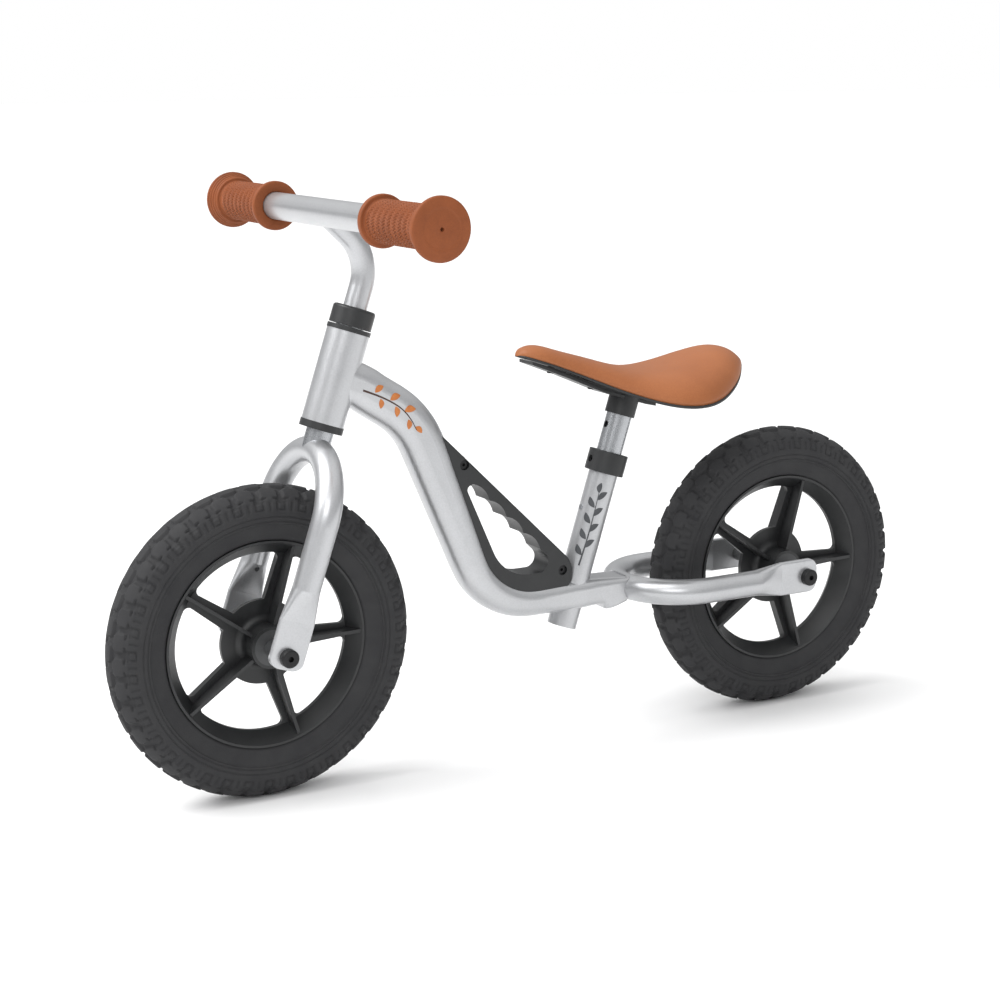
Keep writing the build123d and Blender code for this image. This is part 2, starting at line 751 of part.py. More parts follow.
def handle_outline():
    """The side view of the handle, with its lower edge hidden in the beam."""
    heel_top = (handle_heel_x, handle_heel[1] + (handle_heel_x - handle_heel[0]) * handle_slope)
    heel_foot = (handle_heel_x, handle_foot_z)
    front = handle_tip[0] + handle_beam_overlap
    hidden = [(x, z) for x, z, _, _ in beam_stations() if handle_heel_x < x < front]
    outline = Polygon(handle_tip, heel_top, heel_foot, *reversed(hidden), align=None)
    for corner, radius in ((heel_top, handle_heel_round), (heel_foot, handle_foot_round)):
        nearest = min(outline.vertices(), key=lambda v: hypot(v.X - corner[0], v.Y - corner[1]))
        outline = fillet([nearest], radius)
    return outline


def handle_tab(bolt, radius, half_thickness):
    """A tab that stands on the beam and takes one handle bolt."""
    nearest = min(beam_stations(), key=lambda s: hypot(s[0] - bolt[0], s[1] - bolt[1]))
    away = atan2(bolt[1] - nearest[1], bolt[0] - nearest[0])
    side = (-sin(away) * radius, cos(away) * radius)
    corners = [
        (bolt[0] + side[0], bolt[1] + side[1]),
        (nearest[0] + side[0], nearest[1] + side[1]),
        (nearest[0] - side[0], nearest[1] - side[1]),
        (bolt[0] - side[0], bolt[1] - side[1]),
    ]
    outline = Polygon(*corners, align=None) + Pos(*bolt) * Circle(radius)
    return side_plate(outline, half_thickness)


def edge_is_outer(edge):
    """Whether an edge of the handle's side lies on its upper or back outline."""
    middle = edge @ 0.5
    dx, dz = handle_tip[0] - handle_heel[0], handle_tip[1] - handle_heel[1]
    inset = ((middle.X - handle_heel[0]) * dz - (middle.Z - handle_heel[1]) * dx) / hypot(dx, dz)
    return inset < handle_bar_thickness or middle.X < handle_heel_x + handle_foot_round / 2


def carry_handle():
    """The moulded handle: fits the beam and seat tube, slotted for its tabs, bored for bolts."""
    blank = side_plate(handle_outline(), handle_half_thickness)
    outer = [edge for face in blank.faces().filter_by(Axis.Y) for edge in face.edges()
             if edge_is_outer(edge)]
    blank = fillet(outer, handle_edge_round) - side_plate(handle_opening(), handle_half_thickness)
    blank -= beam_solid()
    blank -= seat_rod(seat_tube_diameter, seat_tube_foot, seat_tube_top)
    for bolt in handle_bolts:
        slot = handle_tab_thickness / 2 + handle_tab_gap
        blank -= handle_tab(bolt, handle_tab_radius + handle_tab_gap, slot)
        blank -= rod_y(handle_bolt_diameter, *bolt, -handle_half_thickness, handle_half_thickness)
        blank -= rod_y(handle_bolt_head_diameter, *bolt, handle_bolt_seat, handle_half_thickness)
        blank -= handle_nut_shape(bolt, handle_half_thickness)
    return largest(blank)


def handle_nut_shape(bolt, outer):
    """The hexagon of one nut on the right side, from its seat to a distance out."""
    hexagon = RegularPolygon(handle_nut_size / 2, 6, major_radius=False)
    nut = extrude(hexagon, outer - handle_bolt_seat)
    return Pos(bolt[0], -handle_bolt_seat, bolt[1]) * Rot(90, 0, 0) * nut


def handle_tabs():
    """Both tabs, cut to sit on the beam, with their bolt holes."""
    tabs = []
    for bolt in handle_bolts:
        tab = handle_tab(bolt, handle_tab_radius, handle_tab_thickness / 2) - beam_solid()
        tab -= seat_rod(seat_tube_diameter, seat_tube_foot, seat_tube_top)
        tab -= rod_y(handle_bolt_diameter, *bolt, -handle_half_thickness, handle_half_thickness)
        tabs.append(max(tab.solids(), key=lambda piece: piece.center().Z))
    return Compound(tabs)


def handle_fasteners():
    """The two handle bolts, with their heads on the left, and their nuts."""
    bolts, nuts = [], []
    length = handle_bolt_seat * 2 + handle_nut_thickness
    for place in handle_bolts:
        bolt = socket_bolt(handle_bolt_diameter, length, handle_bolt_head_diameter, handle_bolt_head_height,
                           handle_bolt_socket, handle_bolt_head_height / 2, handle_bolt_edge_round)
        bolts.append(on_y(bolt, *place, handle_bolt_seat))
        nut = handle_nut_shape(place, handle_bolt_seat + handle_nut_thickness)
        nuts.append(nut - rod_y(handle_bolt_diameter, *place, -handle_half_thickness, 0))
    return Compound(bolts), Compound(nuts)


# Seat post and saddle

def seat_post():
    """The sliding tube under the saddle, with its row of holes for the clamp screw."""
    top = saddle_socket_foot + saddle_post_depth
    post = pipe(seat_post_diameter, seat_post_diameter - 2 * seat_post_wall, seat_post_foot, top)
    for k in range(seat_post_hole_count):
        height = collar_screw_height + (1 - k) * seat_post_hole_pitch
        post -= front_pin(seat_post_hole_diameter, height, 0, seat_post_diameter)
    return seat_frame * post


def saddle_section(x, half_width, rim, under, top, cover):
    """Cross-section at one station, of the saddle's base or of the cover above it."""
    plane = Plane(origin=(x, 0, 0), x_dir=(0, 1, 0), z_dir=(1, 0, 0))
    lift = saddle_base_thickness + saddle_cover_gap if cover else 0
    rim, under = rim + lift, under + lift
    with BuildSketch(plane) as section:
        with BuildLine():
            ThreePointArc((-half_width, rim), (0, under), (half_width, rim))
            if cover:
                edge, shoulder = half_width * saddle_shoulder_width, rim + (top - rim) * saddle_shoulder
                Spline((half_width, rim), (edge, shoulder), (0, top), (-edge, shoulder), (-half_width, rim))
            else:
                rim_top, crown = rim + saddle_base_thickness, under + saddle_base_thickness
                Line((half_width, rim), (half_width, rim_top))
                ThreePointArc((half_width, rim_top), (0, crown), (-half_width, rim_top))
                Line((-half_width, rim_top), (-half_width, rim))
        make_face()
    return section.sketch


def saddle_form(cover):
    """The saddle's base or its cover, through the stations."""
    return loft([saddle_section(*station, cover) for station in saddle_stations])


def bracket_outline(thickness):
    """Side view of the strap under the saddle, as deep as thickness."""
    lower = [(x, z - thickness) for x, z in reversed(saddle_strap_line)]
    return Polygon(*saddle_strap_line, *lower, align=None)


def space_under_saddle():
    """Everything just below the saddle's base, over the width of the strap."""
    line = []
    for x, half_width, rim, under, _ in saddle_stations:
        share = min(saddle_strap_width / 2 / half_width, 1)
        line.append((x, under - (under - rim) * share ** 2 - saddle_strap_gap))
    corners = [(line[-1][0], axle_height), (line[0][0], axle_height)]
    return side_plate(Polygon(*line, *corners, align=None), saddle_strap_width)


def saddle_bracket():
    """The strap and post socket under the saddle, with two ribs up to the base."""
    strap = side_plate(bracket_outline(saddle_strap_thickness), saddle_strap_width / 2)
    rib_outline = Pos(0, saddle_rib_height) * bracket_outline(saddle_rib_height)
    ribs = side_plate(rib_outline, saddle_rib_thickness / 2)
    strap += Pos(0, saddle_rib_offset, 0) * ribs + Pos(0, -saddle_rib_offset, 0) * ribs
    socket = seat_rod(saddle_socket_diameter, saddle_socket_foot, saddle_socket_foot + saddle_socket_length)
    bracket = (strap + socket) & space_under_saddle()
    bracket -= seat_rod(seat_post_diameter, saddle_socket_foot, saddle_socket_foot + saddle_post_depth)
    for bolt in saddle_bolts().solids():
        bracket -= bolt
    return largest(bracket)


def strap_height(x):
    """Top of the strap at a distance along the bike."""
    for (x0, z0), (x1, z1) in zip(saddle_strap_line, saddle_strap_line[1:]):
        if x1 <= x <= x0:
            return z0 + (z1 - z0) * (x - x0) / (x1 - x0)
    return saddle_strap_line[-1][1]


def saddle_bolt_hole(x):
    """The shank of one saddle bolt, from under the strap up into the base."""
    foot = strap_height(x) - saddle_strap_thickness + saddle_bolt_sink
    return Pos(x, 0, 0) * rod(saddle_bolt_diameter, foot, foot + saddle_bolt_length)


def saddle_bolts():
    """Bolts that hold the strap to the saddle base, heads below."""
    bolts = []
    for x in saddle_bolt_places:
        foot = strap_height(x) - saddle_strap_thickness + saddle_bolt_sink
        head = rod(saddle_bolt_head_diameter, foot - saddle_bolt_head_height, foot)
        head = fillet(head.edges().sort_by(Axis.Z)[0], saddle_bolt_edge_round)
        bolts.append(saddle_bolt_hole(x) + Pos(x, 0, 0) * head)
    return Compound(bolts)


def saddle_pieces():
    """Everything that slides with the seat post."""
    base, cover = saddle_form(cover=False), saddle_form(cover=True)
    for x in saddle_bolt_places:
        base -= saddle_bolt_hole(x)
        cover -= saddle_bolt_hole(x)
    return {
        "seat_post": seat_post(),
        "saddle_bracket": saddle_bracket(),
        "saddle_bolts": saddle_bolts(),
        "saddle_base": base,
        "saddle_cover": cover,
    }


def frame_pieces():
    """Everything that stays still on the bike."""
    stays = rear_frame() * stay_piece(rear_bend_length, rear_stay_rise)
    lower_cup, upper_cup = headset_cups()
    bolts, nuts = handle_fasteners()
    head = pipe(head_tube_diameter, head_tube_bore, head_tube_foot, head_tube_foot + head_tube_length)
    return {
        "head_tube": steering_frame * head,
        "headset_lower_cup": steering_frame * lower_cup,
        "headset_upper_cup": steering_frame * upper_cup,
        "main_beam": main_beam(),
        "rear_stays": stays,
        "seat_tube": seat_tube(),
        "seat_tube_rivet": seat_tube_rivet(),
        "seat_collar": seat_collar(),
        "seat_collar_screw": seat_collar_screw(),
        "carry_handle": carry_handle(),
        "carry_handle_tabs": handle_tabs(),
        "carry_handle_bolts": bolts,
        "carry_handle_nuts": nuts,
    } | axle_pieces("rear", rear_axle_x)


def build():
    """Every piece of the bike, by node name."""
    pieces = frame_pieces()
    pieces |= wheel_pieces("rear", rear_axle_x)
    pieces |= steering_pieces()
    pieces |= wheel_pieces("front", front_axle_x)
    return pieces | saddle_pieces()


os.makedirs("parts", exist_ok=True)
for node, piece in build().items():
    export_step(piece, "parts/" + node + ".step")
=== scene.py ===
import json
import math
import bpy
import bmesh
import numpy as np
from mathutils import Matrix, Vector


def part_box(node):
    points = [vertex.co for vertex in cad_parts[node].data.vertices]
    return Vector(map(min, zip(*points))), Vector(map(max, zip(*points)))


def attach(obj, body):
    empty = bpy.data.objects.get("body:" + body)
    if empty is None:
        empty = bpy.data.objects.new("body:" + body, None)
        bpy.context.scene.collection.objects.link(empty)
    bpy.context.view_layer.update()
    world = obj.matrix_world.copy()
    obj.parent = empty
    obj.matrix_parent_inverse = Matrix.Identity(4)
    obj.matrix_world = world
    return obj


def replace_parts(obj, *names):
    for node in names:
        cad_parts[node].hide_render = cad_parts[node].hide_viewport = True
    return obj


# A small child's balance bike in satin silver, dark moulded plastic and terracotta.
# Shapes are worked out in millimetres in the bike's own frame, and written in metres.

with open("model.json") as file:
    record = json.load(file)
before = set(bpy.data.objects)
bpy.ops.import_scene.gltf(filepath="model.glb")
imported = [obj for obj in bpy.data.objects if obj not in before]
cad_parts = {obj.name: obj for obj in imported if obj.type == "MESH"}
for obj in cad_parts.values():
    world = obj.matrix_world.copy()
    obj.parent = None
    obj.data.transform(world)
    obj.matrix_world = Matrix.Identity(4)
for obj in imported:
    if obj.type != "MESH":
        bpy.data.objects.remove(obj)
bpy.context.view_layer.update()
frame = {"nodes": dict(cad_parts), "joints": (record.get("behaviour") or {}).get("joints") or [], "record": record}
nodes = frame["nodes"]
joints = {joint["name"]: joint for joint in frame["joints"]}
mm = 0.001
frontAxle = np.array(joints["front_wheel_spin"]["pos_m"]) / mm
rearAxle = np.array(joints["rear_wheel_spin"]["pos_m"]) / mm
barMiddle = np.array(sum(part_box("handlebar"), Vector())) / 2 / mm
print("frame loaded:", len(nodes), "nodes")


def smoothCurve(places, values, where):
    # natural cubic spline through values at places: the second derivative m is continuous and zero at
    # both ends, and between two knots the value is (1-t)y0 + ty1 + h2/6 (((1-t)^3-(1-t))m0 + (t^3-t)m1)
    places, values = np.asarray(places, float), np.asarray(values, float)
    values = values.reshape(len(places), -1)
    gaps = np.diff(places)
    system, right = np.eye(len(places)), np.zeros_like(values)
    for k in range(1, len(places) - 1):
        system[k, k - 1:k + 2] = gaps[k - 1], 2 * (gaps[k - 1] + gaps[k]), gaps[k]
        right[k] = 6 * ((values[k + 1] - values[k]) / gaps[k] - (values[k] - values[k - 1]) / gaps[k - 1])
    bend = np.linalg.solve(system, right)
    k = np.clip(np.searchsorted(places, where) - 1, 0, len(gaps) - 1)
    h, t = gaps[k][:, None], ((where - places[k]) / gaps[k])[:, None]
    s = 1 - t
    curve = (s ** 3 - s) * bend[k] + (t ** 3 - t) * bend[k + 1]
    return s * values[k] + t * values[k + 1] + h * h / 6 * curve


def softStep(distance, width):
    # 0 below zero, 1 above width, and 3t^2 - 2t^3 in between
    t = np.clip(distance / width, 0, 1)
    return t * t * (3 - 2 * t)


def gridFaces(rows, columns, wrapRows=False, wrapColumns=False):
    # one quad between each pair of neighbouring rows and columns of a grid of points
    a = np.arange(rows if wrapRows else rows - 1)[:, None]
    b = np.arange(columns if wrapColumns else columns - 1)[None, :]
    nextA, nextB = (a + 1) % rows, (b + 1) % columns
    corners = [a * columns + b, a * columns + nextB, nextA * columns + nextB, nextA * columns + b]
    return np.stack(corners, -1).reshape(-1, 4)


def makePiece(name, points, faces, finish, body):
    # puts points in millimetres into a mesh, merges seams and poles, and turns its faces outward
    mesh = bpy.data.meshes.new(name)
    mesh.from_pydata((np.asarray(points).reshape(-1, 3) * mm).tolist(), [], np.asarray(faces).tolist())
    work = bmesh.new()
    work.from_mesh(mesh)
    bmesh.ops.remove_doubles(work, verts=work.verts, dist=1e-7)
    bmesh.ops.recalc_face_normals(work, faces=work.faces)
    work.to_mesh(mesh)
    work.free()
    mesh.polygons.foreach_set("use_smooth", np.ones(len(mesh.polygons), bool))
    mesh.materials.append(finish)
    piece = bpy.data.objects.new(name, mesh)
    bpy.context.scene.collection.objects.link(piece)
    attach(piece, body)
    return piece


def linearColour(hexCode):
    # sRGB hex to linear: c/12.92 below 0.04045, else ((c + 0.055) / 1.055)^2.4
    parts = [int(hexCode[k:k + 2], 16) / 255 for k in (0, 2, 4)]
    return [c / 12.92 if c <= 0.04045 else ((c + 0.055) / 1.055) ** 2.4 for c in parts] + [1.0]


def addNode(tree, kind, sockets=None, **settings):
    # adds one node: settings are its properties, sockets are values or links for its inputs
    node = tree.nodes.new("ShaderNode" + kind)
    for key, value in settings.items():
        setattr(node, key, value)
    for key, value in (sockets or {}).items():
        if isinstance(value, bpy.types.NodeSocket):
            tree.links.new(value, node.inputs[key])
        else:
            node.inputs[key].default_value = value
    return node


def makeFinish(name, darkHex, lightHex, grain, roughness, bump, metallic=0.0, mottle=30.0,
               stretch=(1, 1, 1), cells=False, coat=0.0, specular=0.5):
    # grain and mottle are real sizes in millimetres: mottle drifts the colour between two hex values,
    # grain breaks up the gloss and raises the surface by bump millimetres
    material = bpy.data.materials.new(name)
    material.use_nodes = True
    tree = material.node_tree
    shader = tree.nodes["Principled BSDF"]
    place = addNode(tree, "TexCoord").outputs["Object"]
    place = addNode(tree, "Mapping", {"Vector": place, "Scale": stretch}).outputs["Vector"]
    drift = addNode(tree, "TexNoise", {"Vector": place, "Scale": 1 / (mottle * mm), "Detail": 3.0})
    fine = addNode(tree, "TexNoise", {"Vector": place, "Scale": 1 / (grain * mm), "Detail": 4.0})
    relief = fine.outputs["Fac"]
    if cells:
        pits = addNode(tree, "TexVoronoi", {"Vector": place, "Scale": 1 / (grain * mm)},
                       feature="SMOOTH_F1")
        relief = addNode(tree, "Math", {0: pits.outputs["Distance"], 1: relief},
                         operation="ADD").outputs[0]
    both = addNode(tree, "Math", {0: drift.outputs["Fac"], 1: fine.outputs["Fac"]}, operation="ADD")
    share = addNode(tree, "MapRange", {"Value": both.outputs[0], "From Min": 0.7, "From Max": 1.3})
    colour = addNode(tree, "Mix", {0: share.outputs["Result"], 6: linearColour(darkHex),
                                   7: linearColour(lightHex)}, data_type="RGBA")
    gloss = addNode(tree, "MapRange", {"Value": fine.outputs["Fac"], "From Min": 0.3, "From Max": 0.7,
                                       "To Min": roughness[0], "To Max": roughness[1]})
    raised = addNode(tree, "Bump", {"Height": relief, "Distance": bump * mm, "Strength": 1.0})
    tree.links.new(colour.outputs[2], shader.inputs["Base Color"])
    tree.links.new(gloss.outputs["Result"], shader.inputs["Roughness"])
    tree.links.new(raised.outputs["Normal"], shader.inputs["Normal"])
    shader.inputs["Metallic"].default_value = metallic
    shader.inputs["Coat Weight"].default_value = coat
    shader.inputs["Specular IOR Level"].default_value = specular
    return material


finishes = {
    # sprayed silver lacquer on steel tube: fine flakes and a faint orange peel under a satin top coat
    "silver_paint": makeFinish("silverLacquerSprayed", "B1B2B4", "BFC0C2", 1.2, (0.29, 0.36), 0.003,
                               metallic=0.7, mottle=60, coat=0.2),
    # drawn steel tube, zinc plated: grey-white metal, slightly streaked along the tube
    "bare_steel": makeFinish("zincPlatedSteel", "A4A6A9", "B3B5B8", 1.0, (0.26, 0.31), 0.0015,
                             metallic=0.95, mottle=60),
    # black oxide steel screws: almost black with a soft sheen
    "black_steel": makeFinish("blackOxideSteel", "141415", "202022", 0.8, (0.34, 0.46), 0.006,
                              metallic=0.4, mottle=6),
    # polypropylene moulded in a spark-eroded tool: dark grey with a fine sandy texture
    "dark_plastic": makeFinish("polypropyleneMoulded", "1B1C1D", "242526", 0.9, (0.38, 0.48), 0.012,
                               mottle=25),
    # turned nylon: mid grey, plain and a little waxy
    "spacer_plastic": makeFinish("nylonTurned", "3A3B3C", "464748", 0.7, (0.42, 0.52), 0.01, mottle=12),
    # closed-cell EVA foam tyre: matt charcoal, with pits the size of its cells drawn at 1.1 mm to show
    "tyre_foam": makeFinish("evaFoamMoulded", "28282A", "323233", 1.1, (0.66, 0.82), 0.05,
                            mottle=18, cells=True, specular=0.35),
    # thermoplastic rubber grips, injection moulded: terracotta, dry and matt
    "grip_rubber": makeFinish("gripRubberMoulded", "7A3F1D", "8A4A25", 0.8, (0.55, 0.68), 0.02,
                              mottle=14, specular=0.35),
    # self-skinning polyurethane saddle foam: terracotta, smooth with a fine leathery grain
    "saddle_skin": makeFinish("polyurethaneSkin", "93562F", "A06138", 1.3, (0.46, 0.58), 0.03,
                              mottle=40, cells=True, specular=0.4),
}
inks = {
    # screen-printed ink under clear coat, in three colours
    "twig": makeFinish("inkPrintedTwig", "3A241B", "452C20", 0.6, (0.38, 0.48), 0.004, mottle=5),
    "leaf": makeFinish("inkPrintedLeaf", "B0632C", "C67B3D", 0.6, (0.38, 0.48), 0.004, mottle=5),
    "grey": makeFinish("inkPrintedGrey", "3B3D40", "484A4D", 0.6, (0.38, 0.48), 0.004, mottle=5),
}
slotOf = {row["node"]: row["material_slot"] for row in frame["record"]["subparts"]}
for nodeName, node in nodes.items():
    node.data.materials.clear()
    node.data.materials.append(finishes[slotOf[nodeName]])
print("materials made:", len(finishes) + len(inks))


tyre = {
    # half sections are (radius, distance across) from one bead over the crown to the other
    "outline": [(84.0, 14.7), (96.7, 19.4), (107.0, 20.8), (119.5, 16.2), (127.0, 0.0),
                (119.5, -16.2), (107.0, -20.8), (96.7, -19.4), (84.0, -14.7)],
    "bead": [(84.0, -12.0), (88.0, -8.0), (88.0, 8.0), (84.0, 12.0)],
    "crown": 127.0,         # radius over the tread
    "repeats": 39,          # tread blocks round the tyre
    "perRepeat": 19,        # points round the tyre in one repeat
    "treadPoints": (0.0, 31.0, 34),     # from, to and how many, as distances from the crown
    "ringPoints": (31.6, 44.0, 24),
    "wallPoints": (46.0, 5),
    "edge": 0.7,            # width of a block's sloping edge
    "treadDepth": 2.2,
    "fade": (17.0, 6.0, 0.45),          # where the cuts grow shallower, over what width, by what share
    "centre": (0.41, 0.35, 6.3),        # middle blocks: share of the pitch, taper, half width
    "shoulder": (7.6, 18.2, 4.0),       # blocks beside them: from, to, and where their ends slant
    "slants": (0.7, 0.4),
    "shoulderEnds": (0.42, 0.12, 8.0),  # share of the pitch, taper, and where the taper starts
    "outer": (19.6, 1.6, 40.0),         # outermost band: from, depth of its wavy edge, to
    "sipeDepth": 1.3,
    "sipe": (25.4, 3.7, 3.3, 28.9),     # middle, half sizes, and where the U stays open
    "sipeLine": (0.45, 0.5),            # half width of the line and of its edge
    "notch": (21.5, 29.0, 0.9),         # from, to, and depth as a share of the sipe's
    "notchLine": (0.3, 0.7),
    "lineEnd": 0.8,                     # length over which a line runs out
    "ringRadii": (104.2, 100.3, 96.9),
    "ringsFrom": 30.0,
    "ringDepth": 1.0,
    "ringWidth": 0.55,
}


def tyreSections(spec):
    # points along the outer line of the section, at distances from the crown that are closer together
    # on the tread and the rings than on the smooth wall
    outline = np.array(spec["outline"])
    knots = np.append(0, np.cumsum(np.hypot(*np.diff(outline, axis=0).T)))
    middle = knots[len(knots) // 2]
    wallStart, wallCount = spec["wallPoints"]
    half = np.concatenate([np.linspace(*spec["treadPoints"]), np.linspace(*spec["ringPoints"]),
                           np.linspace(wallStart, middle, wallCount)])
    away = np.concatenate([-half[:0:-1], half])
    line = smoothCurve(knots, outline, away + middle)
    slope = np.gradient(line, away, axis=0)
    slope /= np.linalg.norm(slope, axis=1)[:, None]
    normal = np.stack([-slope[:, 1], slope[:, 0]], -1)
    normal *= np.sign(normal[:, :1] * (line[:, :1] - 100) + normal[:, 1:] * line[:, 1:])
    return away, line, normal


def treadCut(spec, along, away, radius):
    # depth cut below the outer line: along is the distance round the crown from the middle of a repeat,
    # away the distance from the crown; a block is the smallest of its signed edge distances, and the
    # blocks together are the largest of theirs
    pitch = 2 * math.pi * spec["crown"] / spec["repeats"]
    side = np.abs(away)
    staggered = pitch / 2 - np.abs(along)
    share, taper, halfWidth = spec["centre"]
    centre = np.minimum(pitch * share - np.abs(along) - taper * side, halfWidth - side)
    start, end, turn = spec["shoulder"]
    innerSlant, outerSlant = spec["slants"]
    shoulder = np.minimum(side - start - np.maximum(0, staggered - turn) * innerSlant,
                          end - side + np.maximum(0, turn - staggered) * outerSlant)
    share, taper, taperStart = spec["shoulderEnds"]
    shoulder = np.minimum(shoulder, pitch * share - staggered - taper * (side - taperStart))
    start, wave, end = spec["outer"]
    outer = np.minimum(side - start - wave * np.cos(2 * math.pi * along / pitch), end - side)
    blocks = np.maximum(np.maximum(centre, shoulder), outer)
    cut = spec["treadDepth"] * (1 - softStep(blocks + spec["edge"] / 2, spec["edge"]))
    start, width, share = spec["fade"]
    cut *= 1 - share * softStep(side - start, width)
    # a U-shaped sipe in each shoulder block, and a short notch line between two of them
    middle, halfAlong, halfAcross, openFrom = spec["sipe"]
    line, edge = spec["sipeLine"]
    box = np.maximum(np.abs(along) - halfAlong, np.abs(side - middle) - halfAcross)
    sipe = (1 - softStep(np.abs(box) - line, edge)) * softStep(openFrom - side, spec["lineEnd"])
    start, end, share = spec["notch"]
    line, edge = spec["notchLine"]
    notch = (1 - softStep(np.abs(staggered) - line, edge)) * softStep(side - start, spec["lineEnd"])
    notch *= softStep(end - side, spec["lineEnd"])
    cut = np.maximum(cut, spec["sipeDepth"] * np.maximum(sipe, notch * share))
    for ringRadius in spec["ringRadii"]:
        near = np.exp(-((radius - ringRadius) / spec["ringWidth"]) ** 2) * (side > spec["ringsFrom"])
        cut = np.maximum(cut, spec["ringDepth"] * near)
    return cut


def makeTyre(name, axle, body, spec):
    # the section turned about the axle, with each point moved in along its normal by the tread's cut
    away, line, normal = tyreSections(spec)
    count = spec["repeats"] * spec["perRepeat"]
    step = (np.arange(spec["perRepeat"]) + 0.5) / spec["perRepeat"] - 0.5
    pitch = 2 * math.pi * spec["crown"] / spec["repeats"]
    along = np.tile(step * pitch, spec["repeats"])[:, None]
    cut = treadCut(spec, along, away[None, :], line[None, :, 0])
    section = line[None] - cut[..., None] * normal[None]
    bead = np.broadcast_to(np.array(spec["bead"]), (count, len(spec["bead"]), 2))
    section = np.concatenate([section, bead], axis=1)
    angle = (np.arange(count) * 2 * math.pi / count)[:, None]
    radius, across = section[..., 0], section[..., 1]
    points = np.stack([radius * np.cos(angle), across, radius * np.sin(angle)], -1) + axle
    return makePiece(name, points, gridFaces(*points.shape[:2], True, True),
                     finishes["tyre_foam"], body)


for end, axle in (("front", frontAxle), ("rear", rearAxle)):
    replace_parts(makeTyre(end + "TreadedTyre", axle, end + "_wheel", tyre), end + "_tyre")
print("tyres made")


grip = {
    # along the bar from the bike's middle, and radii
    "inner": 98.0, "outer": 194.0, "bore": 11.12, "boreEnd": 186.1,
    "body": 15.9, "innerFlange": 20.0, "innerThick": 5.0, "outerThick": 13.0,
    "flangeBack": 19.3, "outerFlange": 23.4, "steps": 4,   # the outer flange widens in steps
    "stepRise": 0.3,        # share of a step that slopes
    "stepGroove": (0.7, 0.14, 0.12, 0.5),   # depth, middle and width in steps, and where the first is
    "round": 1.3, "hole": 1.5, "holeEdge": 0.4, "holeDepth": 4.0, "dome": 1.2,
    "faceStep": 15.2, "faceDrop": 0.35, "faceSlope": 0.8, "mouth": 1.1,
    "arcPoints": 5, "bodyPoints": 118, "rimPoints": 60, "facePoints": 26,
    "ridges": 44,           # herringbone ridges round the body
    "column": 4.3,          # width of one column of slanted ridges
    "slant": 1.25,          # ridges that a column's slant crosses
    "ridgeHeight": 1.25, "ridgeMiddle": 0.55, "ridgeFlat": 0.75,
    "seam": (0.7, 0.12),    # how far and how wide the ridges sink between columns
    "plainEnd": 2.2, "ridgeEnd": 0.8,
    "around": 352,
}


def gripOutline(spec):
    # half section from the end of the bore, round the outside, to the hole in the end: (along, radius);
    # corners are quarter circles, the end is domed by 1 - (q / flange)^2
    arc = np.linspace(0, math.pi / 2, spec["arcPoints"])
    r, start, body, small = spec["round"], spec["inner"], spec["body"], spec["innerFlange"]
    line = [(spec["boreEnd"], 0.0), (spec["boreEnd"], spec["bore"]),
            (start + spec["mouth"], spec["bore"]), (start, spec["bore"] + spec["mouth"])]
    line += [(start + r - r * np.cos(a), small - r + r * np.sin(a)) for a in arc]
    end = start + spec["innerThick"]
    line += [(end - r + r * np.sin(a), small - r + r * np.cos(a)) for a in arc]
    line += [(end, body + r)] + [(end + r - r * np.cos(a), body + r - r * np.sin(a)) for a in arc]
    back = spec["outer"] - spec["outerThick"]
    line += [(y, body) for y in np.linspace(end + r, back - r, spec["bodyPoints"])[1:-1]]
    line += [(back - r + r * np.sin(a), body + r - r * np.cos(a)) for a in arc]
    small, flange = spec["flangeBack"], spec["outerFlange"]
    line += [(back, small - r)] + [(back + r - r * np.cos(a), small - r + r * np.sin(a)) for a in arc]
    rim = np.linspace(back + r, spec["outer"] - r, spec["rimPoints"])[1:-1]
    stair = (rim - rim[0]) / (rim[-1] - rim[0]) * spec["steps"]
    level = np.floor(stair) + softStep(stair - np.floor(stair), spec["stepRise"])
    depth, middle, width, first = spec["stepGroove"]
    groove = depth * np.exp(-((stair % 1 - middle) / width) ** 2) * (stair > first)
    line += list(zip(rim, small + (flange - small) * np.minimum(level / spec["steps"], 1) - groove))
    line += [(spec["outer"] - r + r * np.sin(a), flange - r + r * np.cos(a)) for a in arc]
    face = np.linspace(flange - r, spec["hole"] + spec["holeEdge"], spec["facePoints"])[1:]
    line += [(spec["outer"] + spec["dome"] * (1 - (q / flange) ** 2)
              - spec["faceDrop"] * softStep(spec["faceStep"] - q, spec["faceSlope"]), q) for q in face]
    mouth = spec["outer"] + spec["dome"] - spec["faceDrop"] - spec["holeEdge"]
    deep = spec["outer"] + spec["dome"] - spec["holeDepth"]
    line += [(mouth, spec["hole"]), (deep, spec["hole"]), (deep, 0.0)]
    return np.array(line, float)


